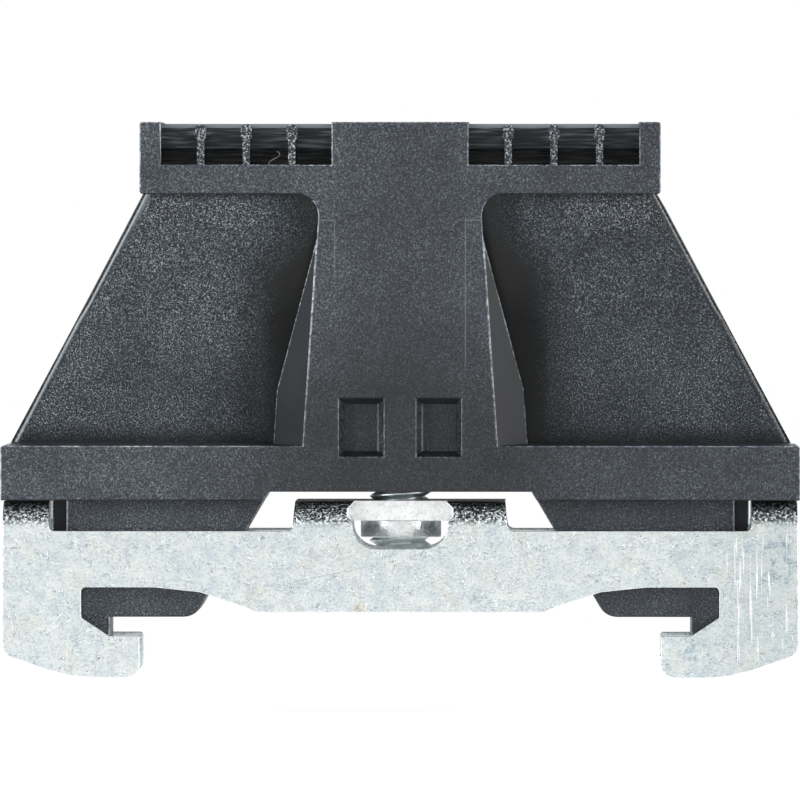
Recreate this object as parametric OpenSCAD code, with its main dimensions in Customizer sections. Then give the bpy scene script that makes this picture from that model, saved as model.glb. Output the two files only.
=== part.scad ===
// Screw-clamped end stop for a 35 mm top-hat mounting rail, in millimetres.
// +X runs across the rail, +Y along it and +Z away from it. The origin lies
// under the middle of the part, at the height of the hooks' undersides.

/* [Moulded body] */
// Length of the base bar, across the rail
body_len = 50.5; // [49:0.5:60]
// Thickness of the body, along the rail
body_t = 9.5; // [9.3:0.1:12]
// Height of the base bar
bar_h = 3.45; // [2.5:0.05:6]
// Height of the wings, from the bar to the header
wing_h = 15.9; // [14:0.1:24]
// How far each wing's foot stops short of the bar's end
wing_foot_inset = 0.45; // [0:0.05:3]
// How far each wing's top stops short of the header's end
wing_top_inset = 0.15; // [0:0.05:3]
// Draft of the bar's ledge, under the wing pockets
ledge_draft = 4; // [0.5:0.5:6]

/* [Wing pockets] */
// Depth of the wing pockets below the body's face
pocket_depth = 2.9; // [1.5:0.05:3.6]
// Depth that is left where the pocket's floor curves up to the header
pocket_top_depth = 1.1; // [0.5:0.05:1.4]
// Height over which the floor curves up
scoop_h = 8; // [4:0.1:12]
// Radius of the pocket's corner between column and header
pocket_corner_r = 1.35; // [0.5:0.05:2.5]

/* [Column] */
// Width of the column's face under the header
neck_w = 10.15; // [9.8:0.05:12]
// Width of the column's face at the bar
root_w = 12.3; // [11:0.05:15]
// Width of the slanted cheeks beside the column's face
cheek_w = 1.9; // [0.8:0.05:3]
// Height above the bar up to which the cheeks keep their width
cheek_straight_h = 3.5; // [1:0.1:6]
// Height above the bar at which the cheeks run out
cheek_h = 13.1; // [8:0.1:13.5]
// Slope of the cheeks, from the body's face
cheek_deg = 40; // [20:1:50]
// Width of a recess in the column's foot
dimple_w = 2.85; // [1.5:0.05:3.6]
// Height of a recess in the column's foot
dimple_h = 3.7; // [1.5:0.05:6]
// Depth of a recess in the column's foot
dimple_depth = 0.9; // [0.3:0.05:1.2]
// Flank run-in of the recess on each side
dimple_flank = 0.35; // [0.1:0.05:0.6]
// Distance of each recess's middle from the column's middle
dimple_x = 2.45; // [2:0.05:3.4]
// Height of the recess's foot below the bar's top
dimple_drop = 0.7; // [0:0.05:2]

/* [Marker header] */
// Height of the header
header_h = 4.55; // [3.8:0.05:7]
// Length of the header, across the rail
header_len = 32.9; // [28:0.1:40]
// Width of the solid post between the two marker bays
post_w = 8.65; // [8.4:0.05:10]
// Thickness of the header's end walls
end_wall = 1.35; // [0.8:0.05:2.5]
// Depth of the marker bays, from the header's top
bay_h = 2.7; // [1.8:0.05:3.4]
// Thickness of the marker rail's head, which the marker tags clip onto
clip_head_t = 5.1; // [3.5:0.1:6]
// Thickness of the marker rail's stem
clip_stem_t = 1.2; // [0.8:0.05:2]
// Height of the undercut beneath the marker rail's head
undercut_h = 1.05; // [0.5:0.05:1.5]
// How far the marker rail lies below the header's top
clip_drop = 0.1; // [0.05:0.05:0.6]
// Number of ribs in a bay
rib_count = 3; // [1:1:3]
// Pitch of the ribs
rib_pitch = 2.88; // [2.2:0.02:3]
// Thickness of a rib
rib_t = 0.45; // [0.3:0.05:0.8]
// Thickness of the bead along a rib's top
bead_t = 0.68; // [0.4:0.02:1]
// Height of the bead along a rib's top
bead_h = 1; // [0.8:0.05:1.2]
// Setback of the ribs from the body's face
rib_setback = 0.15; // [0:0.05:0.6]
// How far the ribs lie below the header's top
rib_drop = 0.15; // [0.05:0.05:0.4]

/* [Rail legs] */
// Clear height of the rail slot, between hook and rail seat
slot_h = 1.15; // [1.05:0.05:2.5]
// Height of the legs, from the rail seat to the bar's underside
leg_h = 7.4; // [6.5:0.05:11]
// Distance between the two walls that the rail's edges lie between
rail_space = 36.8; // [35.5:0.1:37.5]
// Height of the recess in the bar's underside, over the clamp foot
recess_h = 0.55; // [0.3:0.05:1.2]
// Width of the opening between the legs, at the top of that recess
leg_gap_top = 16.6; // [15:0.1:18]
// Width of the opening between the legs, at the rail seat
leg_gap_foot = 26; // [22:0.1:28]
// Rounding where a leg's inner edge meets the rail seat
leg_round_r = 1.25; // [0.5:0.05:3]
// Height of the walls beside the rail, below the rail seat
guard_h = 2.4; // [1.5:0.1:2.8]
// Thickness of the tongue that guides each shoulder of the foot
tongue_t = 4.4; // [3:0.1:5.5]
// How far the tongue stands out beyond the leg
tongue_w = 0.9; // [0.4:0.05:1.5]

/* [Clamp foot] */
// How far the foot stays short of the bar at each end
foot_inset = 0.15; // [0.05:0.05:0.6]
// Width of the foot over both side plates, along the rail
foot_w = 9.1; // [8.8:0.05:9.3]
// Thickness of the steel sheet
sheet_t = 1.25; // [0.8:0.05:1.4]
// Outer radius of the folds
fold_r = 1.4; // [1.4:0.05:1.6]
// Length of each folded shoulder
shoulder_len = 2.9; // [2:0.05:4]
// Length of the folded bridge that carries the thread
bridge_len = 13.3; // [11:0.1:15]
// Depth of the gaps between bridge and shoulders
gap_depth = 1.87; // [1.6:0.01:2.2]
// Height of the side plates' lower edge in the middle
strap_z = 4.14; // [3.9:0.02:5]
// Height of the rail slot's roof in the side plates
roof_z = 5.7; // [5.3:0.05:6.5]
// Distance between the outer walls of the two rail slots
slot_span = 40.3; // [39:0.1:42]
// Distance between the tips of the two hooks
tip_span = 33; // [31:0.1:34]
// Height of the hooks
hook_h = 2.65; // [2:0.05:3.4]
// Rise of the hooks' undersides towards the foot's ends
heel_rise = 1.48; // [0.8:0.02:2]
// Length of the level top of each hook
hook_flat = 1.9; // [1.2:0.05:2.4]
// Width of the window round the thread
window_w = 6.06; // [5.6:0.02:8]
// Height of the window's lower edge below the foot's top
window_depth = 3; // [2.6:0.05:3.6]
// Widening of the window through the fold, on each side
window_flare = 0.32; // [0:0.02:0.8]
// Size of the slanted corners at the window's top
window_corner = 0.45; // [0.2:0.05:0.6]

/* [Clamp screw] */
// Thread diameter
thread_d = 4; // [3:0.5:4]
// Length of the screw under its head
screw_len = 20; // [17:1:22]
// Diameter of the head
head_d = 7; // [5.5:0.1:7]
// Height of the head
head_h = 2.6; // [1.8:0.1:3.5]
// Width of the driver slot
driver_w = 1.2; // [0.8:0.1:1.6]
// Depth of the driver slot
driver_depth = 1.3; // [0.6:0.1:1.6]
// Height of the head's seat above the bar's underside
head_seat_h = 14.4; // [12:0.1:16]
// Wall of the drawn collar round the thread
collar_wall = 0.5; // [0.4:0.05:0.9]
// Height of the drawn collar below the sheet
collar_h = 1.1; // [0.6:0.05:1.3]

/* [Clearances] */
// Play between the foot's shoulders and the bar when the foot is up
shoulder_play = 0.05; // [0.02:0.01:0.3]
// Play between each leg and the side plates
leg_play = 0.15; // [0.1:0.05:0.5]
// Play between a guide tongue and its shoulder
tongue_play = 0.15; // [0.1:0.05:0.5]
// Radial play of the screw in the body and in the collar
shank_play = 0.05; // [0.02:0.01:0.15]
// Radial play round the screw's head
head_play = 0.2; // [0.1:0.05:0.3]

/* [Hidden] */
$fn = 72;
past = 1;
huge = 100;

// Levels, from the hooks' undersides upward
seat_z = hook_h + slot_h;
bar_z = seat_z + leg_h;
bar_top = bar_z + bar_h;
header_z = bar_top + wing_h;
top_z = header_z + header_h;
bay_z = top_z - bay_h;
foot_top = bar_z - shoulder_play;
head_z = bar_z + head_seat_h;

// Half widths that several pieces share
face_y = body_t / 2;
plate_in = foot_w / 2 - sheet_t;
foot_x = body_len / 2 - foot_inset;
shoulder_x = foot_x - shoulder_len;
tongue_x = shoulder_x - tongue_play;
leg_x = tongue_x - tongue_w;
leg_t = 2 * (plate_in - leg_play);
bay_x = header_len / 2 - end_wall;

// Radii round the screw
thread_r = thread_d / 2;
bore_r = thread_r + shank_play;
well_r = head_d / 2 + head_play;

// Half width of the column's face at height z
function column_x(z) = (neck_w + (root_w - neck_w) * (header_z - z) / wing_h) / 2;

function unit(v) = v / norm(v);
function turn(a) = a > 180 ? a - 360 : a < -180 ? a + 360 : a;

// Arc of radius r that rounds corner b between its neighbours a and c
function corner_arc(a, b, c, r) =
    let (
        u = unit(a - b),
        v = unit(c - b),
        half = acos(u * v) / 2,
        o = b + unit(u + v) * r / sin(half),
        s = b + u * r / tan(half) - o,
        e = b + v * r / tan(half) - o,
        from = atan2(s.y, s.x),
        sweep = turn(atan2(e.y, e.x) - from),
        steps = ceil(abs(sweep) / 12)
    )
    [for (i = [0 : steps]) o + r * [cos(from + sweep * i / steps), sin(from + sweep * i / steps)]];

// Closed outline through [x, z, radius] corners, each rounded by its radius
function rounded(path) =
    let (n = len(path), p = [for (q = path) [q[0], q[1]]])
    [for (i = [0 : n - 1])
        each path[i][2] > 0
            ? corner_arc(p[(i + n - 1) % n], p[i], p[(i + 1) % n], path[i][2])
            : [p[i]]];

// Outline closed by the mirror image of its right half
function both_sides(half) =
    concat(half, [for (i = [len(half) - 1 : -1 : 0]) [-half[i][0], half[i][1], half[i][2]]]);

// Extrudes an outline drawn in X and Z, centred on the body's middle plane
module slab(t) {
    rotate([90, 0, 0])
        linear_extrude(height = t, center = true)
            children();
}

// Extrudes an outline drawn in X and Z from depth d below the front face to well outside it
module front_slab(d) {
    translate([0, d - face_y, 0])
        rotate([90, 0, 0])
            linear_extrude(height = d + past)
                children();
}

// Repeats what is made for the front right quarter in all four
module quarters() {
    for (side = [0, 1], face = [0, 1])
        mirror([side, 0, 0])
            mirror([0, face, 0])
                children();
}

// ---- Moulded body ----

module silhouette() {
    wing_foot = body_len / 2 - wing_foot_inset;
    wing_top = header_len / 2 - wing_top_inset;
    polygon(rounded(both_sides([
        [body_len / 2, bar_z, 0],
        [body_len / 2, bar_top, 0.15],
        [wing_foot, bar_top, 0],
        [wing_top, header_z, 0],
        [header_len / 2, header_z, 0.2],
        [header_len / 2, top_z, 0.15]
    ])));
}

// Everything in front of the pocket's floor, which is level below and curves up to the
// header in an arc. The arc leaves the level floor at a slight angle.
module pocket_depths() {
    rise = pocket_depth - pocket_top_depth;
    start_deg = 3;
    arc_deg = 2 * (atan(rise / scoop_h) - start_deg);
    arc_r = norm([rise, scoop_h]) / 2 / sin(arc_deg / 2);
    floor_y = pocket_depth - face_y;
    middle_z = header_z - scoop_h - arc_r * sin(start_deg);
    intersection() {
        translate([0, floor_y - huge, 0])
            cube([huge, huge, huge]);
        union() {
            translate([0, floor_y + past - huge, middle_z - huge])
                cube([huge, huge, huge]);
            translate([0, floor_y - arc_r * cos(start_deg), middle_z])
                rotate([0, 90, 0])
                    cylinder(r = arc_r, h = huge, $fn = 240);
        }
    }
}

// Room above the bar's drafted ledge
module above_ledge() {
    translate([0, -face_y, bar_top])
        rotate([ledge_draft, 0, 0])
            translate([0, -huge / 2, 0])
                cube([huge, huge, huge]);
}

// Outer edge of the cheek, from its foot to where it runs out
function cheek_edge() = [
    [column_x(bar_top - past) + cheek_w, bar_top - past],
    [column_x(bar_top + cheek_straight_h) + cheek_w, bar_top + cheek_straight_h],
    [column_x(bar_top + cheek_h), bar_top + cheek_h]
];

module wing_pocket() {
    edge = cheek_edge();
    intersection() {
        front_slab(pocket_depth + past)
            polygon(rounded([
                [edge[0].x, edge[0].y, 0],
                [edge[1].x, edge[1].y, 0.3],
                [edge[2].x, edge[2].y, 0],
                [column_x(header_z), header_z, pocket_corner_r],
                [body_len, header_z, 0],
                [body_len, bar_top - past, 0]
            ]));
        pocket_depths();
        above_ledge();
    }
}

// Slices the cheek off along a plane that starts just inside the column's edge. The slice
// runs a little into the pocket, and up to the corner as a fine break of the edge.
module cheek_cut() {
    lean = atan((root_w - neck_w) / 2 / wing_h);
    lap = 0.3;
    edge_break = 0.03;
    end_z = header_z - pocket_corner_r;
    intersection() {
        front_slab(pocket_depth)
            polygon(concat(
                [for (p = cheek_edge()) p + [lap, 0]],
                [[column_x(end_z) + lap, end_z]],
                [for (z = [end_z, bar_top - past]) [column_x(z) - lap, z]]
            ));
        translate([column_x(bar_top) - edge_break, -face_y, bar_top])
            rotate([0, -lean, 0])
                rotate([0, 0, cheek_deg])
                    translate([-huge / 2, -huge, -huge / 2])
                        cube([huge, huge, huge]);
        above_ledge();
    }
}

// Shallow recess with sloping flanks in the column's foot
module dimple() {
    small = [dimple_w - 2 * dimple_flank, dimple_h - 2 * dimple_flank];
    reach = dimple_depth + past;
    spread = 2 * dimple_flank * reach / dimple_depth;
    translate([dimple_x, dimple_depth - face_y, bar_top - dimple_drop + dimple_h / 2])
        rotate([90, 0, 0])
            linear_extrude(
                height = reach,
                scale = [1 + spread / small.x, 1 + spread / small.y],
                slices = 1,
                $fn = 4
            )
                square(small, center = true);
}

// One bay's room in front of the marker rail and beneath its head
module marker_bay() {
    translate([post_w / 2, -face_y - past, bay_z])
        cube([bay_x - post_w / 2, face_y + past - clip_head_t / 2, bay_h + past]);
    translate([post_w / 2, -face_y - past, bay_z])
        cube([bay_x - post_w / 2, face_y + past - clip_stem_t / 2, undercut_h]);
}

// Room above the marker rail's head, in one bay
module clip_top_cut() {
    translate([post_w / 2, -clip_head_t / 2, top_z - clip_drop])
        cube([bay_x - post_w / 2, clip_head_t / 2 + past, clip_drop + past]);
}

// A rib's section: a thin web with a rounded bead along its top
module rib_section() {
    top = bay_h - rib_drop;
    polygon(rounded(both_sides([
        [rib_t / 2, -past / 2, 0],
        [rib_t / 2, top - bead_h, 0],
        [bead_t / 2, top - bead_h + bead_t / 4, bead_t / 8],
        [bead_t / 2, top, bead_t * 0.45]
    ])));
}

module ribs() {
    middle = (post_w / 2 + bay_x) / 2;
    reach = face_y - rib_setback - clip_stem_t / 2 + 0.1;
    for (i = [0 : rib_count - 1])
        translate([middle + (i - (rib_count - 1) / 2) * rib_pitch, -clip_stem_t / 2 + 0.1, bay_z])
            rotate([90, 0, 0])
                linear_extrude(height = reach)
                    rib_section();
}

// Both legs as one block between the side plates, with a tongue at each outer end
module leg_block() {
    guard_z = seat_z - guard_h;
    slab(leg_t)
        polygon(rounded(both_sides([
            [leg_x, guard_z, 0.6],
            [leg_x, bar_z + past, 0]
        ])));
    translate([-tongue_x, -tongue_t / 2, seat_z])
        cube([2 * tongue_x, tongue_t, leg_h + past / 2]);
}

// Everything under the body: the rail's room, the gap between the legs and the recess
// over the clamp foot
module underside_gap() {
    slab(body_t + 2 * past)
        polygon(rounded(both_sides([
            [rail_space / 2, seat_z - guard_h - past, 0],
            [rail_space / 2, seat_z, 0],
            [leg_gap_foot / 2, seat_z, leg_round_r],
            [leg_gap_top / 2, bar_z + recess_h, 0]
        ])));
}

// Stepped bore: clear of the shank below, a well for head and driver above
module screw_bore() {
    translate([0, 0, bar_z - past])
        cylinder(r = bore_r, h = head_seat_h + 2 * past);
    translate([0, 0, head_z])
        cylinder(r = well_r, h = top_z - head_z + past);
}

module body() {
    color("#3f4449")
        difference() {
            union() {
                difference() {
                    union() {
                        slab(body_t)
                            silhouette();
                        leg_block();
                    }
                    quarters() {
                        wing_pocket();
                        cheek_cut();
                        dimple();
                        marker_bay();
                    }
                }
                quarters()
                    ribs();
            }
            quarters()
                clip_top_cut();
            underside_gap();
            screw_bore();
        }
}

// ---- Clamp foot ----

// Blank of the foot seen along the rail, from the lower edge round to the bridge
function foot_edge() = [
    [9.05, strap_z, 1],
    [12.6, roof_z, 14],
    [slot_span / 2, roof_z, 0.25],
    [slot_span / 2, seat_z, 0.1],
    [tip_span / 2 + hook_flat, hook_h, 0.2],
    [tip_span / 2, hook_h, 0.2],
    [tip_span / 2 - 0.05, 0, 0.85],
    [(tip_span / 2 + foot_x) / 2, 0, foot_x - tip_span / 2],
    [foot_x + 0.05, heel_rise, 0.9],
    [foot_x, foot_top, 0],
    [shoulder_x, foot_top, 0],
    [shoulder_x, foot_top - gap_depth, 0.4],
    [bridge_len / 2 + 0.15, foot_top - gap_depth, 0.4],
    [bridge_len / 2, foot_top, 0]
];

// Arch of width w and given top level, with both shoulders rounded
module arch(w, top, r) {
    translate([-w / 2, -past])
        square([w, top - r + past]);
    translate([r - w / 2, -past])
        square([w - 2 * r, top + past]);
    for (side = [-1, 1])
        translate([side * (w / 2 - r), top - r])
            circle(r = r);
}

// Section of the folded sheet, seen across the rail
module folded_sheet() {
    rotate([90, 0, 90])
        linear_extrude(height = body_len, center = true)
            difference() {
                arch(foot_w, foot_top, fold_r);
                translate([0, -past])
                    arch(2 * plate_in, foot_top - sheet_t + past, fold_r - sheet_t);
            }
}

// Window in each side plate that bares the bridge's edge and the collar
module thread_window() {
    sill = foot_top - window_depth;
    cheek_z = foot_top - sheet_t - 0.1;
    half = window_w / 2;
    for (face = [0, 1])
        mirror([0, face, 0])
            translate([0, fold_r - foot_w / 2, 0])
                rotate([90, 0, 0])
                    linear_extrude(height = fold_r + past)
                        polygon(rounded(both_sides([
                            [half, sill, 1.5],
                            [half, cheek_z, 0],
                            [half + window_flare, cheek_z + window_flare, 0],
                            [half + window_flare, foot_top - window_corner, 0.2],
                            [half + window_flare - window_corner - past, foot_top + past, 0]
                        ])));
}

module clamp_foot() {
    web_z = foot_top - sheet_t;
    color("#d3d8db")
        difference() {
            union() {
                difference() {
                    intersection() {
                        slab(foot_w + 2 * past)
                            polygon(rounded(both_sides(foot_edge())));
                        folded_sheet();
                    }
                    thread_window();
                }
                translate([0, 0, web_z - collar_h])
                    cylinder(r = bore_r + collar_wall, h = collar_h + sheet_t / 2);
            }
            translate([0, 0, web_z - collar_h - past])
                cylinder(r = bore_r, h = collar_h + sheet_t + 2 * past);
        }
}

// ---- Clamp screw ----

// Head and shank in one turned form; the shank is as thick as the thread's crest
module clamp_screw() {
    lead = 0.5;
    rim = 0.25;
    color("#c9ccc8")
        translate([0, 0, head_z])
            difference() {
                rotate_extrude()
                    polygon([
                        [0, -screw_len],
                        [thread_r - lead, -screw_len],
                        [thread_r, lead - screw_len],
                        [thread_r, 0],
                        [head_d / 2, 0],
                        [head_d / 2, head_h - rim],
                        [head_d / 2 - rim, head_h],
                        [0, head_h]
                    ]);
                translate([-head_d / 2 - past, -driver_w / 2, head_h - driver_depth])
                    cube([head_d + 2 * past, driver_w, driver_depth + past]);
            }
}

body();
clamp_foot();
clamp_screw();
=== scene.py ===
import math

import bmesh
import bpy
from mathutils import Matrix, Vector


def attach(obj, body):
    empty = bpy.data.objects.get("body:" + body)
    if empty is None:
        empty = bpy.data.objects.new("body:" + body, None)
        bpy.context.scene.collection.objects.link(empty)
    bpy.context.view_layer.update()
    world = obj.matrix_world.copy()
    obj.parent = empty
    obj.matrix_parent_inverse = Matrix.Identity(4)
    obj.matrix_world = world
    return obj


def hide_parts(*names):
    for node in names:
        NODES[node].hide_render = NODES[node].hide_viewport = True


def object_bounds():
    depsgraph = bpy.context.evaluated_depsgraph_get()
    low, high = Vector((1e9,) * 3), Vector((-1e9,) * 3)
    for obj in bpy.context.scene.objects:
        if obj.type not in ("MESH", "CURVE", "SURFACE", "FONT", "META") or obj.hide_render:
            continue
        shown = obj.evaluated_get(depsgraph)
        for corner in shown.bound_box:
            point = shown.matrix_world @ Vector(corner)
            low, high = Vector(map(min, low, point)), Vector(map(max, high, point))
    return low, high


MM = 0.001

# Sizes of the end stop that its finishes and soft edges follow, in millimetres
FACE_Y = 4.75
BAR_TOP = 14.65
HEADER_Z = 30.55
LEG_Z = 11.2
HEAD_Z = 25.6
TIP_Z = 5.6
THREAD_R = 1.97
ROOT_R = 1.55
PITCH = 0.7
SHANK_TOP_R = 1.6
SHANK_SHORT = 0.9
TIP_CHAMFER = 0.2
TOP_SLOPE = 1.2
THREAD_START = 0.806
POST_X = 4.3
BAY_X = 15.1
BAY_Z = 32.4
CLIP_TOP = 35.0
COLLAR_TOP = 9.75
FOOT_DROP = 2.8
COLUMN_MIDDLE = 0.3
WING_FROM = 6
CHEEK_FROM, CHEEK_TO = 4.6, 9
DIMPLE_ROOF = 18
RIM_FROM = 16.35
LEG_END_FROM, LEG_END_TO = 20.4, 21.5
TONGUE_FROM = 21.1
FOLD_Z = 9.8
FOOT_ROOF = 11
BRIDGE_X, BRIDGE_Y = 3.4, 3.25
SLACK = 0.2

# Radii of rounded edges and of the whisker of flash, in millimetres
RIM_R = 0.5
LEG_END_R = 0.12
DIMPLE_R = 0.08
JAMB_R = 0.1
EDGE_R = 0.07
STRIP_R = 0.05
HEAD_R = 0.18
WHISKER_R = 0.035

# Sizes of the patterns in the finishes, in millimetres
FLOW_MM = 3.5
CRYSTAL_MM = 0.17
CURL_MM = 0.5
BREAK_MM = 0.8
SCORE_MM = 0.17

# Single marks: places and reaches across the part and up it, in millimetres
INSERT_X = (4.11, 4.15)
INSERT_Z = (28.88, 28.92)
INSERT_END_X = 5.2
RUBBED_SPOT = (-13.5, 20.1, 0.1, 0.65)
STAIN = (-2.5, 4.42, 0.2, 0.55)
BARE_SPOTS = ((23.8, 7.4, 0.3, 2.1), (18.2, 1.3, 0.3, 1.6))
DRAG_X, DRAG_Z = (20.6, 24.3), (1.2, 8.6)
HAIRLINE, HAIRLINE_X = (7.40, 7.43), (-6.5, -1.9)

# Where the body's and the foot's materials stand in their lists
ON_FACE, ON_WING, ON_CHEEK, ON_EDGE, ON_BAY, ON_RIB, ON_RIM, ON_HIGHLIGHT = range(8)
ON_SHEET, ON_CUT, ON_BRIDGE, ON_COLLAR = range(4)

# Where the tones of the finishes stand on their noise
GRAIN_STOPS = (0.36, 0.48, 0.58, 0.68)
PATCH_STOPS = (0.32, 0.48, 0.64)
FILM_STOPS = (0.36, 0.46, 0.56, 0.66)
FILM_TONES = ("#f2f7fa", "#fafdff", "#fffffe", "#fbf9f3")

# Profile of the thread, in shares of the pitch, and its steps per turn
FLANK_FROM, CREST_FROM, CREST_TO = 0.125, 0.5, 0.625
AROUND = 48

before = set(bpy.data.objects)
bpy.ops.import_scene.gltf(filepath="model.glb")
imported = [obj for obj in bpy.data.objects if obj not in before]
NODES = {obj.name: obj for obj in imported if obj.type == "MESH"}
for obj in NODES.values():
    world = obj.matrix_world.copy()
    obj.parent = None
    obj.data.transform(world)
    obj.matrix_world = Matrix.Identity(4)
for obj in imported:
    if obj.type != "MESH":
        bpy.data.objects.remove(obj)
CAD_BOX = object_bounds()


# Colour and node helpers


def linear(hex_colour, alpha=1.0):
    """An sRGB hex colour as the linear colour that shaders take."""
    parts = [int(hex_colour[i : i + 2], 16) / 255 for i in (1, 3, 5)]
    return (
        *(c / 12.92 if c <= 0.04045 else ((c + 0.055) / 1.055) ** 2.4 for c in parts),
        alpha,
    )


def add(tree, kind, inputs=None, **settings):
    """Adds a node, applies its settings, and fills or links its inputs."""
    node = tree.nodes.new(kind)
    for key, value in settings.items():
        setattr(node, key, value)
    for key, value in (inputs or {}).items():
        if isinstance(value, bpy.types.NodeSocket):
            tree.links.new(value, node.inputs[key])
        else:
            node.inputs[key].default_value = value
    return node


def blank_material(name):
    material = bpy.data.materials.new(name)
    material.use_nodes = True
    material.node_tree.nodes.clear()
    return material, material.node_tree


def per_mm(size_mm):
    """Texture scale for a pattern whose features are size_mm across."""
    return 1 / (size_mm * MM)


def ramp(tree, factor, stops):
    """A colour ramp with the given (position, colour) stops."""
    node = add(tree, "ShaderNodeValToRGB", {"Fac": factor})
    elements = node.color_ramp.elements
    for element, (position, colour) in zip(elements, stops):
        element.position, element.color = position, colour
    for position, colour in stops[len(elements) :]:
        elements.new(position).color = colour
    return node.outputs["Color"]


def math_node(tree, operation, *values, **settings):
    """One arithmetic step on numbers or sockets."""
    inputs = dict(enumerate(values))
    return add(tree, "ShaderNodeMath", inputs, operation=operation, **settings).outputs["Value"]


def fade(tree, value, low, high, at_low=0.0, at_high=1.0):
    """Runs smoothly from at_low to at_high while the value goes from low to high."""
    return add(
        tree,
        "ShaderNodeMapRange",
        {"Value": value, "From Min": low, "From Max": high, "To Min": at_low, "To Max": at_high},
        interpolation_type="SMOOTHSTEP",
    ).outputs["Result"]


def noise(tree, place, size_mm, detail=2.0, rough=0.55, distortion=0.0):
    """Cloudy noise whose features are about size_mm across."""
    return add(
        tree,
        "ShaderNodeTexNoise",
        {
            "Vector": place,
            "Scale": per_mm(size_mm),
            "Detail": detail,
            "Roughness": rough,
            "Distortion": distortion,
        },
    ).outputs["Fac"]


def blend(tree, factor, a, b, mode="MIX"):
    """Mixes two colours."""
    node = add(tree, "ShaderNodeMix", data_type="RGBA", blend_type=mode)
    for socket, value in ((0, factor), (6, a), (7, b)):
        if isinstance(value, bpy.types.NodeSocket):
            tree.links.new(value, node.inputs[socket])
        else:
            node.inputs[socket].default_value = value
    return node.outputs[2]


# Finishes


def beside_column(tree, split, start_mm, end_mm):
    """1 on the wings near the column, 0 further out; the zone narrows under the header."""
    out = math_node(tree, "ABSOLUTE", math_node(tree, "SUBTRACT", split["X"], COLUMN_MIDDLE * MM))
    high = fade(tree, split["Z"], (HEADER_Z - 6) * MM, (HEADER_Z - 1.5) * MM, 0.0, 3.0 * MM)
    return fade(tree, math_node(tree, "ADD", out, high), start_mm * MM, end_mm * MM, 1.0, 0.0)


def in_corners(tree, split):
    """1 on the wings where they meet the bar, a thin weaker line right under the header, 0 between."""
    over_bar = fade(tree, split["Z"], (BAR_TOP + 0.2) * MM, (BAR_TOP + 1.6) * MM, 1.0, 0.0)
    under_header = fade(tree, split["Z"], (HEADER_Z - 0.35) * MM, (HEADER_Z - 0.1) * MM, 0.0, 0.6)
    return math_node(tree, "MAXIMUM", over_bar, under_header)


def darker_middle(tree, split):
    """1 around the middle of the bar and the column's foot, where the colour is made darker."""
    up = math_node(tree, "SUBTRACT", split["Z"], 13.5 * MM)
    tall = math_node(tree, "MULTIPLY", up, 1.3)
    flat = add(tree, "ShaderNodeCombineXYZ", {"X": split["X"], "Y": tall}).outputs["Vector"]
    reach = add(tree, "ShaderNodeVectorMath", {0: flat}, operation="LENGTH").outputs["Value"]
    return fade(tree, reach, 4 * MM, 15 * MM, 1.0, 0.0)


def spot(tree, split, x_mm, z_mm, inner_mm, outer_mm):
    """1 on the front within inner_mm of a point, 0 from outer_mm."""
    here = add(tree, "ShaderNodeCombineXYZ", {"X": split["X"], "Y": split["Z"]}).outputs["Vector"]
    centre = (x_mm * MM, z_mm * MM, 0.0)
    away = add(
        tree, "ShaderNodeVectorMath", {0: here, 1: centre}, operation="DISTANCE"
    ).outputs["Value"]
    front = math_node(tree, "LESS_THAN", split["Y"], 0.0)
    return math_node(tree, "MULTIPLY", fade(tree, away, inner_mm * MM, outer_mm * MM, 1.0, 0.0), front)


def band(tree, value, low_mm, high_mm, soft_mm=0.03):
    """1 while the value lies between two places, 0 outside them."""
    above = fade(tree, value, (low_mm - soft_mm) * MM, low_mm * MM)
    below = fade(tree, value, high_mm * MM, (high_mm + soft_mm) * MM, 1.0, 0.0)
    return math_node(tree, "MULTIPLY", above, below)


def insert_lines(tree, split):
    """The fine lines that the cavity's insert left down the column and out to its edges."""
    out = math_node(tree, "ABSOLUTE", split["X"])
    upright = band(tree, out, *INSERT_X)
    left = math_node(tree, "LESS_THAN", split["X"], 0.0)
    above = math_node(tree, "MULTIPLY_ADD", left, -5.5 * MM, split["Z"])
    down = math_node(tree, "MULTIPLY", upright, fade(tree, above, 19.2 * MM, 20.4 * MM))
    down = math_node(tree, "MULTIPLY", down, math_node(tree, "LESS_THAN", split["Z"], 28.9 * MM))
    level = band(tree, split["Z"], *INSERT_Z)
    across = math_node(tree, "MULTIPLY", level, band(tree, out, INSERT_X[1], INSERT_END_X))
    return math_node(tree, "MAXIMUM", down, across)


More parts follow.
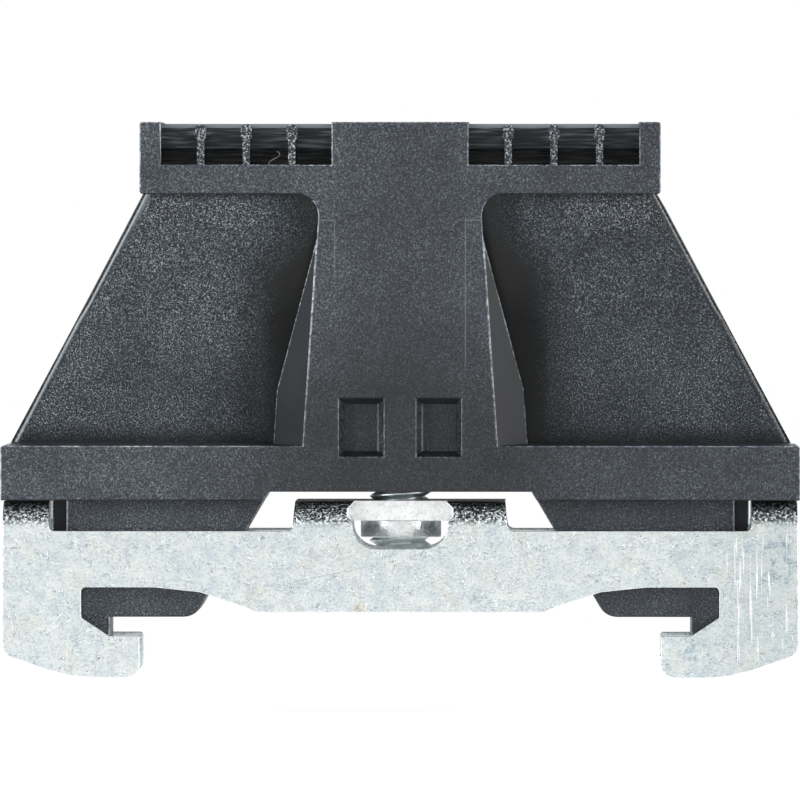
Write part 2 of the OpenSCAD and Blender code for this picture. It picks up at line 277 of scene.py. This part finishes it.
def moulded_polyamide(
    name,
    grain_mm,
    depth_mm,
    tones,
    roughness,
    ior=1.5,
    worm=0.0,
    wing=False,
    face=False,
    rim=False,
    drawn=1.0,
):
    """Glass-filled polyamide, moulded against a spark-eroded steel cavity.
    The eye sees a dark blue-grey with a sandy grain whose tips glint, and cloudy flow marks.
    Tones are the colours of the grain's pits, slopes, tips and barest fibres. Drawn stretches
    the grain along the part and paints a highlight along the top of the clip. The colour is made
    darker towards the right and around the middle of the bar and the column's foot. A wing is
    smooth beside the column and carries painted shade there, over the bar and in a thin line under
    the header, painted glints near the header toward its outer end, and a rubbed spot. The face
    carries the lines of the cavity's insert. A rim carries a painted highlight where it turns away
    from the front and the back, weaker on the right."""
    material, tree = blank_material(name)
    place = add(tree, "ShaderNodeTexCoord").outputs["Object"]
    split = add(tree, "ShaderNodeSeparateXYZ", {"Vector": place}).outputs
    pulled = add(
        tree, "ShaderNodeMapping", {"Vector": place, "Scale": (1 / drawn, 1.0, 1.0)}
    ).outputs["Vector"]
    grain = noise(tree, pulled, grain_mm, 1.0, 0.5, worm)
    clouds = noise(tree, place, FLOW_MM, 3.0, 0.6)
    stops = zip(GRAIN_STOPS, map(linear, tones))
    colour = ramp(tree, grain, list(stops))
    flow = ramp(tree, clouds, [(0.34, linear("#cdd0d6")), (0.6, linear("#ffffff"))])
    colour = blend(tree, 1.0, colour, flow, "MULTIPLY")
    # The colour is made darker towards the right.
    darker_to_right = fade(tree, split["X"], -14 * MM, 14 * MM)
    colour = blend(tree, darker_to_right, colour, linear("#d6d7da"), "MULTIPLY")
    across = math_node(tree, "ABSOLUTE", split["X"])
    over_bore = math_node(
        tree,
        "MULTIPLY",
        fade(tree, across, 2.6 * MM, 4.3 * MM, 1.0, 0.0),
        fade(tree, split["Z"], 15 * MM, 18 * MM),
    )
    colour = blend(tree, over_bore, colour, linear("#e0e1e4"), "MULTIPLY")
    # The colour is made darker around the middle of the bar and the column's foot.
    colour = blend(tree, darker_middle(tree, split), colour, linear("#9a9899"), "MULTIPLY")
    strength = 1.0
    shine = fade(tree, clouds, 0.3, 0.7, roughness - 0.05, roughness + 0.06)
    if wing:
        rubbed = math_node(tree, "MULTIPLY", spot(tree, split, *RUBBED_SPOT), 0.7)
        # Painted shade: near marks it beside the column, low over the bar and in a thin line under the
        # header.
        near = beside_column(tree, split, 7.4, 11.8)
        low = math_node(tree, "MULTIPLY", in_corners(tree, split), 0.85)
        # Painted glints: the grain's tips are lightened near the header, toward the wing's outer end.
        tips = math_node(tree, "MULTIPLY", fade(tree, grain, 0.54, 0.66), 0.4)
        outer = fade(tree, across, 8.5 * MM, 12 * MM)
        zone = math_node(tree, "MULTIPLY", outer, band(tree, split["Z"], 29.3, 30.4, 1.6))
        painted_glints = math_node(tree, "MULTIPLY", tips, zone)
        colour = blend(tree, painted_glints, colour, linear("#e3e8ea"))
        # Painted shade: the wing's colour goes almost black beside the column, over the bar and under the
        # header.
        colour = blend(tree, math_node(tree, "MAXIMUM", near, low), colour, linear("#090b0d"))
        colour = blend(tree, rubbed, colour, linear("#33393f"))
        smooth = beside_column(tree, split, 8.2, 10.2)
        strength = fade(tree, math_node(tree, "MAXIMUM", smooth, rubbed), 0.0, 1.0, 1.0, 0.03)
        shine = math_node(tree, "MULTIPLY_ADD", smooth, -0.1, shine)
    if face:
        lines = math_node(tree, "MULTIPLY", insert_lines(tree, split), 0.5)
        colour = blend(tree, lines, colour, linear("#8a939a"))
    if rim:
        # Painted highlight: the rim's colour goes pale where the rounding turns away from the front and
        # the back, weaker on the right.
        turned = add(tree, "ShaderNodeTexCoord").outputs["Normal"]
        level = math_node(
            tree, "ABSOLUTE", add(tree, "ShaderNodeSeparateXYZ", {"Vector": turned}).outputs["Y"]
        )
        pale = math_node(
            tree, "MULTIPLY", fade(tree, level, 0.76, 0.88), fade(tree, level, 0.9, 0.99, 1.0, 0.0)
        )
        less_right = fade(tree, split["X"], 0.0, 10 * MM, 1.0, 0.1)
        pale = math_node(tree, "MULTIPLY", pale, less_right)
        colour = blend(tree, pale, colour, linear("#98a3a6"))
    if drawn > 1:
        # Painted highlight along the top of the clip's wall.
        painted_lip_highlight = band(tree, split["Z"], CLIP_TOP - 0.24, CLIP_TOP)
        colour = blend(tree, painted_lip_highlight, colour, linear("#a7afb3"))
    relief = add(
        tree,
        "ShaderNodeBump",
        {"Height": grain, "Strength": strength, "Distance": depth_mm * MM},
    ).outputs["Normal"]
    shader = add(
        tree,
        "ShaderNodeBsdfPrincipled",
        {"Base Color": colour, "Roughness": shine, "IOR": ior, "Normal": relief},
    )
    add(tree, "ShaderNodeOutputMaterial", {"Surface": shader.outputs["BSDF"]})
    return material


def drag_marks(tree, place, split):
    """Bright upright score marks near the foot's right end, where it was dragged out of the tray."""
    upright = add(
        tree, "ShaderNodeMapping", {"Vector": place, "Scale": (1.0, 1.0, 0.05)}
    ).outputs["Vector"]
    streaks = fade(tree, noise(tree, upright, SCORE_MM, 1.0), 0.62, 0.68)
    zone = math_node(
        tree, "MULTIPLY", band(tree, split["X"], *DRAG_X, 0.5), band(tree, split["Z"], *DRAG_Z, 0.8)
    )
    return math_node(tree, "MULTIPLY", streaks, zone)


def hairline(tree, split):
    """One fine slanted scratch across the middle of the foot."""
    along = math_node(tree, "MULTIPLY_ADD", split["X"], -0.2, split["Z"])
    line = band(tree, along, *HAIRLINE, 0.02)
    return math_node(tree, "MULTIPLY", line, band(tree, split["X"], *HAIRLINE_X, 0.6))


def zinc_plated_steel(
    name, patch_mm, roughness, peel_mm=0.0, marked=0.55, tones=("#dfe7ec", "#eaf0f0", "#f1f5f3")
):
    """Bright zinc electroplated on cold-rolled strip, blue-passivated.
    The eye sees a pale bluish white metal with cloudy patches, a fine crystalline speckle and
    curled grey marks, as strongly as marked says.
    Where the strip is folded, the plating breaks up into a coarse light and dark peel of peel_mm."""
    material, tree = blank_material(name)
    place = add(tree, "ShaderNodeTexCoord").outputs["Object"]
    split = add(tree, "ShaderNodeSeparateXYZ", {"Vector": place}).outputs
    clouds = noise(tree, place, patch_mm, 4.0, 0.65)
    crystals = noise(tree, place, CRYSTAL_MM, 2.0, 0.6)
    curls = noise(tree, place, CURL_MM, 3.0, 0.6, 0.7)
    colour = ramp(tree, clouds, list(zip(PATCH_STOPS, map(linear, tones))))
    speckle = ramp(tree, crystals, [(0.32, linear("#b9c1c5")), (0.52, linear("#ffffff"))])
    colour = blend(tree, 0.45, colour, speckle, "MULTIPLY")
    film = noise(tree, place, 2.4 * patch_mm, 3.0, 0.6)
    stops = list(zip(FILM_STOPS, map(linear, FILM_TONES)))
    colour = blend(tree, 0.9 * marked, colour, ramp(tree, film, stops), "MULTIPLY")
    from_ridge = math_node(tree, "ABSOLUTE", math_node(tree, "SUBTRACT", curls, 0.5))
    line = fade(tree, from_ridge, 0.0, 0.026, 1.0, 0.0)
    broken = fade(tree, noise(tree, place, BREAK_MM, 2.0), 0.47, 0.6)
    mark = math_node(tree, "MULTIPLY", math_node(tree, "MULTIPLY", line, broken), marked)
    colour = blend(tree, mark, colour, linear("#5f6e74"))
    if peel_mm:
        # The colour is made darker towards the foot's right end.
        darker_to_right_end = fade(tree, split["X"], 15 * MM, 23 * MM)
        colour = blend(tree, darker_to_right_end, colour, linear("#f0f2f2"), "MULTIPLY")
        for bare_spot in BARE_SPOTS:
            bare = math_node(tree, "MULTIPLY", spot(tree, split, *bare_spot), broken)
            colour = blend(tree, bare, colour, linear("#d3dee6"), "MULTIPLY")
        scored = drag_marks(tree, place, split)
        colour = blend(tree, scored, colour, linear("#ffffff"))
        stain = math_node(tree, "MULTIPLY", spot(tree, split, *STAIN), 0.25)
        colour = blend(tree, stain, colour, linear("#c9a878"))
        scratch = math_node(tree, "MULTIPLY", hairline(tree, split), 0.45)
        colour = blend(tree, scratch, colour, linear("#8d989c"))
    height = math_node(tree, "MULTIPLY_ADD", mark, -0.8, crystals)
    relief = add(
        tree,
        "ShaderNodeBump",
        {"Height": height, "Strength": 0.6, "Distance": 0.04 * MM},
    ).outputs["Normal"]
    shine = fade(tree, clouds, 0.3, 0.7, roughness - 0.03, roughness + 0.03)
    if peel_mm:
        near_fold = fade(tree, split["Z"], 9.4 * MM, 10.1 * MM)
        peel = noise(tree, place, peel_mm, 2.0, 0.6)
        relief = add(
            tree,
            "ShaderNodeBump",
            {
                "Height": peel,
                "Strength": near_fold,
                "Distance": 0.6 * peel_mm * MM,
                "Normal": relief,
            },
        ).outputs["Normal"]
        pits = math_node(tree, "MULTIPLY", fade(tree, peel, 0.44, 0.62, 1.0, 0.0), near_fold)
        colour = blend(tree, pits, colour, linear("#43494b"))
        shine = math_node(tree, "MULTIPLY_ADD", near_fold, -0.04, shine)
    shader = add(
        tree,
        "ShaderNodeBsdfPrincipled",
        {"Base Color": colour, "Metallic": 1.0, "Roughness": shine, "Normal": relief},
    )
    add(tree, "ShaderNodeOutputMaterial", {"Surface": shader.outputs["BSDF"]})
    return material


FACE_SKIN = moulded_polyamide(
    "polyamide_fine_eroded",
    0.105,
    0.06,
    ("#23292e", "#3e454c", "#5a626b", "#8b949b"),
    0.42,
    worm=0.7,
    face=True,
)
WING_SKIN = moulded_polyamide(
    "polyamide_coarse_eroded",
    0.088,
    0.09,
    ("#14181c", "#313940", "#636f77", "#c2cace"),
    0.35,
    ior=1.38,
    worm=0.8,
    wing=True,
)
CHEEK_SKIN = moulded_polyamide(
    "polyamide_smooth_moulded", 0.1, 0.002, ("#1f242b", "#22272e", "#252a31", "#2b3037"), 0.4, ior=1.42
)
# Skin of the rounded outside edges: its pale tones paint their highlight.
EDGE_SKIN = moulded_polyamide(
    "polyamide_edges_painted_highlight", 0.22, 0.004, ("#656e74", "#a0a8ad", "#ccd2d5", "#eef1f1"), 0.26
)
# Near-white skin that paints the highlight on the legs' ends, the dimples' inner corners and the bays'
# left jamb.
HIGHLIGHT_SKIN = moulded_polyamide(
    "polyamide_lines_painted_highlight", 0.22, 0.004, ("#b4bbbf", "#dce1e3", "#f4f6f6", "#ffffff"), 0.22
)
WHISKER_SKIN = moulded_polyamide(
    "polyamide_flash_whisker", 0.1, 0.004, ("#8f8d85", "#aaa89f", "#c1bfb5", "#d9d7cd"), 0.4
)
# Skin of the rounded wing rims: polished, with a painted highlight on the rounding.
RIM_SKIN = moulded_polyamide(
    "polyamide_polished_rim_painted_highlight", 0.14, 0.02, ("#14181b", "#23282d", "#3a4147", "#6c757c"), 0.26, rim=True
)
BAY_SKIN = moulded_polyamide(
    "polyamide_drawn_streaks", 0.16, 0.03, ("#1b1f22", "#353a3f", "#6c757b", "#a9b1b6"), 0.4, drawn=14.0
)
# Grain whose near-white tips paint highlights on the ribs and on the dimples' side walls.
RIB_SKIN = moulded_polyamide(
    "polyamide_ribs_painted_highlight", 0.12, 0.08, ("#181d20", "#383f45", "#838c92", "#f4f6f6"), 0.3
)
SHEET_ZINC = zinc_plated_steel("zinc_plated_strip_steel", 0.9, 0.4, 0.17, marked=0.72)
CUT_ZINC = zinc_plated_steel(
    "zinc_plated_cut_edges", 0.6, 0.14, marked=0.2, tones=("#eceff0", "#f5f7f6", "#fcfcfb")
)
# The bridge takes a paler, less marked copy of the same plating, whose near-white tones paint its
# highlight.
BRIDGE_ZINC = zinc_plated_steel(
    "zinc_plated_pressed_bridge_painted_highlight", 1.1, 0.54, marked=0.1, tones=("#f6f8f8", "#fbfcfb", "#ffffff")
)
COLLAR_ZINC = zinc_plated_steel(
    "zinc_plated_turned_collar", 1.1, 0.3, marked=0.1, tones=("#e6ebec", "#edf0f0", "#f4f5f4")
)
SCREW_ZINC = zinc_plated_steel("zinc_plated_cold_headed_steel", 0.9, 0.42, marked=0.2)


# Shapes


def clean_copy(node):
    """A bmesh of a CAD node, with its triangles joined back into flat faces."""
    bm = bmesh.new()
    bm.from_mesh(NODES[node].data)
    bmesh.ops.remove_doubles(bm, verts=bm.verts, dist=0.001 * MM)
    bmesh.ops.dissolve_limit(bm, angle_limit=math.radians(1), verts=bm.verts, edges=bm.edges)
    return bm


def join_close(bm, join_mm):
    """Brings corners together that lie too close for the edges between them to be rounded over."""
    bmesh.ops.remove_doubles(bm, verts=bm.verts, dist=join_mm * MM)
    bmesh.ops.dissolve_degenerate(bm, dist=0.001 * MM, edges=bm.edges)


def close_cheek_tips(bm):
    """Each cheek runs out to a hair's width under the header: its two long edges are joined there."""
    near = 0.06 * MM
    column_edges = [
        e
        for e in bm.edges
        if e.calc_length() > 14 * MM
        and all(abs(abs(v.co.y) - FACE_Y * MM) < 0.01 * MM and abs(v.co.x) < 7 * MM for v in e.verts)
        and abs(e.verts[0].co.x - e.verts[1].co.x) > 0.5 * MM
    ]
    for edge in column_edges:
        foot = min(edge.verts, key=lambda v: v.co.z)
        tip = edge.other_vert(foot)
        run = tip.co - foot.co
        cheek = next(f for f in edge.link_faces if abs(f.normal.x) > 0.3)
        share = {v: (v.co - foot.co).dot(run) / run.length_squared for v in cheek.verts}
        close = [
            v
            for v in cheek.verts
            if v not in (foot, tip) and (v.co - foot.co - run * share[v]).length < near
        ]
        corner = min(close, key=lambda v: v.co.z)
        on_edge = bmesh.utils.edge_split(edge, foot, share[corner])[1]
        bmesh.ops.connect_vert_pair(bm, verts=[corner, on_edge])
        short = [e for e in bm.edges if all((v.co - tip.co).length < 2 * near for v in e.verts)]
        bmesh.ops.collapse(bm, edges=[bm.edges.get((corner, on_edge)), *short])


def sharp_edges(bm, wanted=None, least_deg=28):
    """Edges between faces that meet at an angle, where wanted(edge) holds."""
    return [
        e
        for e in bm.edges
        if len(e.link_faces) == 2
        and e.calc_face_angle(0) > math.radians(least_deg)
        and (wanted is None or wanted(e))
    ]


def round_over(bm, edges, radius_mm, segments=2, material=-1):
    bmesh.ops.bevel(
        bm,
        geom=edges,
        offset=radius_mm * MM,
        offset_type="OFFSET",
        segments=segments,
        profile=0.5,
        affect="EDGES",
        clamp_overlap=False,
        material=material,
    )


def finish_piece(bm, name, node, body, materials):
    """Makes the object from the bmesh, stands it in for its CAD node, if any, and rides it on its
    body."""
    mesh = bpy.data.meshes.new(name)
    bm.normal_update()
    for edge in bm.edges:
        most_deg = 50 if edge.is_convex else 20
        edge.smooth = len(edge.link_faces) == 2 and edge.calc_face_angle(0) < math.radians(most_deg)
    for face in bm.faces:
        face.smooth = True
    bm.to_mesh(mesh)
    bm.free()
    for material in materials:
        mesh.materials.append(material)
    piece = bpy.data.objects.new(name, mesh)
    bpy.context.scene.collection.objects.link(piece)
    weigh = piece.modifiers.new("even_normals", "WEIGHTED_NORMAL")
    weigh.keep_sharp = True
    weigh.weight = 80
    if node:
        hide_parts(node)
    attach(piece, body)


def on_wing(face):
    """Whether a face is part of the sunk, coarsely grained wing."""
    c = face.calc_center_median() / MM
    return (
        BAR_TOP - SLACK < c.z < HEADER_Z + SLACK
        and abs(c.y) < FACE_Y - 0.4
        and abs(face.normal.y) > 0.6
        and abs(face.normal.x) < 0.3
        and abs(c.x) > WING_FROM
    )


def on_cheek(face):
    """Whether a face is the smooth slope between the column and the wing."""
    c = face.calc_center_median() / MM
    return (
        BAR_TOP - SLACK < c.z < HEADER_Z + SLACK
        and CHEEK_FROM < abs(c.x) < CHEEK_TO
        and abs(face.normal.y) < 0.95
        and abs(face.normal.x) > 0.3
    )


def in_marker_bay(point):
    """Whether a point lies among the ribs of a marker bay, behind the body's face."""
    return POST_X < abs(point.x) < BAY_X and point.z > BAY_Z - 0.3 and abs(point.y) < FACE_Y - 0.05


def middle(edge):
    """The middle of an edge, in millimetres."""
    return (edge.verts[0].co + edge.verts[1].co) / 2 / MM


def rises(edge, least_mm):
    """Whether an edge's two ends differ in height by more than least_mm."""
    return abs(edge.verts[0].co.z - edge.verts[1].co.z) > least_mm * MM


def on_rim(edge):
    """Whether an edge runs down a wing's slanted outer side."""
    m = middle(edge)
    return abs(m.x) > RIM_FROM and BAR_TOP + 0.3 < m.z < HEADER_Z - 0.1 and abs(m.y) < FACE_Y - 0.5


def on_leg_end(edge):
    """Whether an edge runs down the outer end of a leg, beside its guide tongue."""
    m = middle(edge)
    at_end = LEG_END_FROM < abs(m.x) < LEG_END_TO
    return rises(edge, 3) and edge.is_convex and m.z < LEG_Z - 0.3 and at_end


def on_dimple_line(edge):
    """Whether an edge is the upright inner corner of a dimple, on the side nearest the middle."""
    m = middle(edge)
    sunk = abs(m.y) < FACE_Y - 0.3
    return rises(edge, 1) and not edge.is_convex and abs(m.x) < 2 and m.z < DIMPLE_ROOF and sunk


def on_highlit_jamb(edge):
    """Whether an edge is the front left upright of the marker bays, which carries a painted highlight."""
    m = middle(edge)
    at_jamb = abs(m.x + BAY_X) < 0.1 and m.z > BAY_Z and m.y < 0
    return rises(edge, 1) and edge.is_convex and at_jamb


def skin_of(face):
    """Which of the body's skins a face carries."""
    c = face.calc_center_median() / MM
    to_front = abs(face.normal.y) > 0.9
    if c.z < LEG_Z and abs(c.x) > TONGUE_FROM and to_front:
        return ON_CHEEK
    if in_marker_bay(c) and to_front:
        return ON_RIB if abs(c.y) > FACE_Y - 0.5 else ON_BAY
    in_dimple = abs(c.x) < POST_X and c.z < DIMPLE_ROOF and abs(c.y) < FACE_Y - 0.05
    # The dimples' side walls take the rib skin, whose bright tips paint light on them.
    if in_dimple and 0.3 < abs(face.normal.x) < 0.99:
        return ON_RIB
    return ON_WING if on_wing(face) else ON_CHEEK if on_cheek(face) else ON_FACE


def moulded_body():
    bm = clean_copy("body")
    close_cheek_tips(bm)
    join_close(bm, 0.07)
    for face in bm.faces:
        face.material_index = skin_of(face)
    round_over(bm, sharp_edges(bm, on_rim), RIM_R, 5, material=ON_RIM)
    # These roundings carry the painted highlight skin.
    round_over(bm, sharp_edges(bm, on_leg_end), LEG_END_R, material=ON_HIGHLIGHT)
    round_over(bm, sharp_edges(bm, on_dimple_line), DIMPLE_R, material=ON_HIGHLIGHT)
    round_over(bm, sharp_edges(bm, on_highlit_jamb), JAMB_R, material=ON_HIGHLIGHT)
    # The remaining outside edges are rounded with the painted highlight skin.
    outside = sharp_edges(
        bm,
        lambda e: e.is_convex
        and not in_marker_bay(middle(e))
        and not on_rim(e)
        and not on_leg_end(e)
        and not on_highlit_jamb(e),
    )
    round_over(bm, outside, EDGE_R, material=ON_EDGE)
    # Painted shade: roundings that face down take the dark smooth skin in place of the painted highlight.
    for face in bm.faces:
        if face.material_index == ON_EDGE and face.normal.z < -0.25:
            face.material_index = ON_CHEEK
    finish_piece(
        bm,
        "moulded_body",
        "body",
        "housing",
        [FACE_SKIN, WING_SKIN, CHEEK_SKIN, EDGE_SKIN, BAY_SKIN, RIB_SKIN, RIM_SKIN, HIGHLIGHT_SKIN],
    )


def flash_whisker():
    """A curled whisker of flash, left standing in the marker bay, second from the column."""
    path = [
        Vector(p) * MM
        for p in (
            (-8.36, -4.0, 32.38),
            (-8.22, -3.98, 32.62),
            (-8.0, -3.93, 32.76),
            (-7.76, -3.9, 32.86),
            (-7.6, -3.86, 33.02),
            (-7.64, -3.82, 33.18),
            (-7.8, -3.8, 33.26),
        )
    ]
    bm = bmesh.new()
    rings = []
    for i, centre in enumerate(path):
        along = (path[min(i + 1, len(path) - 1)] - path[max(i - 1, 0)]).normalized()
        side = along.cross(Vector((0, 1, 0))).normalized() * WHISKER_R * MM
        deep = along.cross(side)
        turns = [math.tau * k / 8 for k in range(8)]
        rings.append([bm.verts.new(centre + side * math.cos(a) + deep * math.sin(a)) for a in turns])
    for low, high in zip(rings, rings[1:]):
        for k in range(8):
            bm.faces.new((low[k], low[k - 7], high[k - 7], high[k]))
    bm.faces.new(rings[0])
    bm.faces.new(rings[-1])
    bmesh.ops.recalc_face_normals(bm, faces=bm.faces)
    finish_piece(bm, "flash_whisker", None, "housing", [WHISKER_SKIN])


def on_cut(face):
    """Whether a face of the foot is a cut edge of the strip or a flat top."""
    c = face.calc_center_median() / MM
    cut = abs(face.normal.y) < 0.2 and (c.z < FOLD_Z or abs(face.normal.x) > 0.85)
    return cut or (face.normal.z > 0.9 and c.z > FOOT_ROOF)


def on_bridge(face):
    """Whether a face belongs to the bridge over the window or to its threaded collar."""
    c = face.calc_center_median() / MM
    return abs(c.x) < BRIDGE_X and abs(c.y) < BRIDGE_Y


def folded_foot():
    bm = clean_copy("clamp_foot")
    join_close(bm, 0.05)
    for face in bm.faces:
        face.material_index = ON_CUT if on_cut(face) else ON_SHEET
        if on_bridge(face):
            low = face.calc_center_median().z < COLLAR_TOP * MM
            face.material_index = ON_COLLAR if low else ON_BRIDGE
    round_over(bm, sharp_edges(bm), STRIP_R)
    finish_piece(
        bm,
        "folded_clamp_foot",
        "clamp_foot",
        "foot",
        [SHEET_ZINC, CUT_ZINC, BRIDGE_ZINC, COLLAR_ZINC],
    )


def thread_radius(share):
    """Radius at a share of the pitch up one thread: flat root, flank, flat crest, flank."""
    if share < FLANK_FROM:
        return ROOT_R
    if share < CREST_FROM:
        return ROOT_R + (THREAD_R - ROOT_R) * (share - FLANK_FROM) / (CREST_FROM - FLANK_FROM)
    if share < CREST_TO:
        return THREAD_R
    return THREAD_R - (THREAD_R - ROOT_R) * (share - CREST_TO) / (1 - CREST_TO)


def threaded_shank(bm):
    """A right-hand M4 thread from the chamfered tip to a little way under the head. It is an open
    shell: its tip has no end face, and between its top and the head there is no neck."""
    shares = (0.0, FLANK_FROM, CREST_FROM, CREST_TO)
    top = HEAD_Z - SHANK_SHORT
    turns = math.ceil((top - TIP_Z) / PITCH) + 2
    rows = []
    for j in range(turns * AROUND + 1):
        angle = math.tau * j / AROUND
        row = []
        for share in shares:
            z = TIP_Z + PITCH * (j / AROUND - THREAD_START + share)
            z_in = min(max(z, TIP_Z), top)
            r = min(
                thread_radius(share),
                ROOT_R - TIP_CHAMFER + (z_in - TIP_Z),
                SHANK_TOP_R + (top - z_in) * TOP_SLOPE,
            )
            place = (r * math.cos(angle) * MM, r * math.sin(angle) * MM, z_in * MM)
            row.append(bm.verts.new(place))
        rows.append(row)
    for j in range(turns * AROUND):
        for i in range(len(shares) - 1):
            bm.faces.new((rows[j][i], rows[j + 1][i], rows[j + 1][i + 1], rows[j][i + 1]))
        above = j + AROUND
        if above < turns * AROUND:
            bm.faces.new((rows[j][-1], rows[j + 1][-1], rows[above + 1][0], rows[above][0]))
    bmesh.ops.remove_doubles(bm, verts=bm.verts, dist=0.002 * MM)
    bmesh.ops.dissolve_degenerate(bm, dist=0.001 * MM, edges=bm.edges)


def slotted_screw():
    head = clean_copy("clamp_screw")
    join_close(head, 0.01)
    bmesh.ops.bisect_plane(
        head,
        geom=[*head.verts, *head.edges, *head.faces],
        plane_co=(0, 0, (HEAD_Z - 0.2) * MM),
        plane_no=(0, 0, 1),
        clear_inner=True,
    )
    round_over(head, sharp_edges(head), HEAD_R, 3)
    threaded_shank(head)
    finish_piece(
        head,
        "slotted_clamp_screw",
        "clamp_screw",
        "screw",
        [SCREW_ZINC],
    )


moulded_body()
flash_whisker()
folded_foot()
slotted_screw()


# Stage: a white floor that keeps the shadow, and white all round

FLOOR_HALF = 0.12
LAMP_TARGET = (0, 0, 0.018)
SENSOR_MM = 36
SEEN = 50.5 * MM
CAMERA_TARGET = (0, -FACE_Y * MM, 17.55 * MM)
CAMERA_AWAY = 740 * MM
CAMERA_AZIMUTH, CAMERA_ELEVATION = 0.76, 0.78


def white_where_seen(tree):
    """1 for what the camera, a mirror or a glass sees directly, 0 for what only lights."""
    path = add(tree, "ShaderNodeLightPath").outputs
    either = math_node(tree, "MAXIMUM", path["Is Camera Ray"], path["Is Glossy Ray"])
    return math_node(tree, "MAXIMUM", either, path["Is Transmission Ray"])


def pale_floor():
    """Lies where the foot's hooks reach when the screw lets them all the way down."""
    level = CAD_BOX[0][2] - FOOT_DROP * MM
    mesh = bpy.data.meshes.new("floor")
    corners = [
        (x * FLOOR_HALF, y * FLOOR_HALF, level) for x, y in ((-1, -1), (1, -1), (1, 1), (-1, 1))
    ]
    mesh.from_pydata(corners, [], [(0, 1, 2, 3)])
    floor = bpy.data.objects.new("floor", mesh)
    bpy.context.scene.collection.objects.link(floor)
    material, tree = blank_material("matt_white_paper")
    sheet = add(tree, "ShaderNodeBsdfDiffuse", {"Color": linear("#eef0f1")}).outputs["BSDF"]
    lift = add(
        tree,
        "ShaderNodeMapRange",
        {"Value": white_where_seen(tree), "To Min": 0.0, "To Max": 0.85},
    ).outputs["Result"]
    glow = add(
        tree, "ShaderNodeEmission", {"Color": (1, 1, 1, 1), "Strength": lift}
    ).outputs["Emission"]
    both = add(tree, "ShaderNodeAddShader", {0: sheet, 1: glow}).outputs["Shader"]
    add(tree, "ShaderNodeOutputMaterial", {"Surface": both})
    mesh.materials.append(material)


def white_room(ambient, overhead, lens_gap, side_gap):
    """A white band all round at the part's own level, dimmer above and below, darker in front where
    the lens stands between the lamps, and darker at the sides between the lamps and the backdrop."""
    world = bpy.data.worlds.new("studio")
    bpy.context.scene.world = world
    world.use_nodes = True
    tree = world.node_tree
    tree.nodes.clear()
    path = add(tree, "ShaderNodeLightPath").outputs
    seen = math_node(tree, "MAXIMUM", path["Is Camera Ray"], path["Is Transmission Ray"])
    direction = add(tree, "ShaderNodeTexCoord").outputs["Generated"]
    split = add(tree, "ShaderNodeSeparateXYZ", {"Vector": direction}).outputs
    steep = math_node(tree, "ABSOLUTE", split["Z"])
    round_level = fade(tree, steep, 0.28, 0.6, 1.0, overhead)
    lens = fade(tree, split["Y"], -0.975, -0.9, lens_gap, 1.0)
    dim = fade(tree, split["Y"], -0.3, 0.05, 1.0, side_gap)
    backdrop = fade(tree, split["Y"], 0.4, 0.5)
    round_about = math_node(tree, "MAXIMUM", math_node(tree, "MULTIPLY", lens, dim), backdrop)
    level = math_node(tree, "MULTIPLY", round_level, round_about)
    share = fade(tree, path["Is Glossy Ray"], 0.0, 1.0, ambient, 1.0)
    lit = math_node(tree, "MULTIPLY", level, share)
    strength = math_node(tree, "MAXIMUM", seen, lit)
    sky = add(
        tree, "ShaderNodeBackground", {"Color": (1, 1, 1, 1), "Strength": strength}
    ).outputs["Background"]
    add(tree, "ShaderNodeOutputWorld", {"Surface": sky})


def aim(thing, target, azimuth, elevation, distance):
    """Stands a lamp or camera off its target, facing it. Azimuth 0 is in front, positive to the
    right."""
    a, e = math.radians(azimuth), math.radians(elevation)
    back = Vector((math.sin(a) * math.cos(e), -math.cos(a) * math.cos(e), math.sin(e)))
    thing.location = Vector(target) + back * distance
    thing.rotation_mode = "QUATERNION"
    thing.rotation_quaternion = back.to_track_quat("Z", "Y")


def softbox(name, azimuth, elevation, distance, width, height, radiance):
    """An area lamp aimed at the middle of the part."""
    data = bpy.data.lights.new(name, "AREA")
    data.shape = "RECTANGLE"
    data.size, data.size_y = width, height
    data.energy = radiance * math.pi * width * height
    lamp = bpy.data.objects.new(name, data)
    bpy.context.scene.collection.objects.link(lamp)
    aim(lamp, LAMP_TARGET, azimuth, elevation, distance)


def camera():
    """Almost level and straight on, far enough away that the sides stay parallel."""
    data = bpy.data.cameras.new("camera")
    data.sensor_width = SENSOR_MM
    data.lens = SENSOR_MM * CAMERA_AWAY / SEEN
    data.clip_start, data.clip_end = 0.01, 10
    cam = bpy.data.objects.new("camera", data)
    bpy.context.scene.collection.objects.link(cam)
    aim(cam, CAMERA_TARGET, CAMERA_AZIMUTH, CAMERA_ELEVATION, CAMERA_AWAY)
    bpy.context.scene.camera = cam


pale_floor()
white_room(0.45, 0.25, 0.6, 0.15)
softbox("strip_lamp_left", -54, 4, 0.6, 0.2, 0.5, 8)
softbox("strip_lamp_right", 62, 4, 0.6, 0.2, 0.5, 7.5)
camera()
bpy.context.scene.view_settings.view_transform = "Standard"
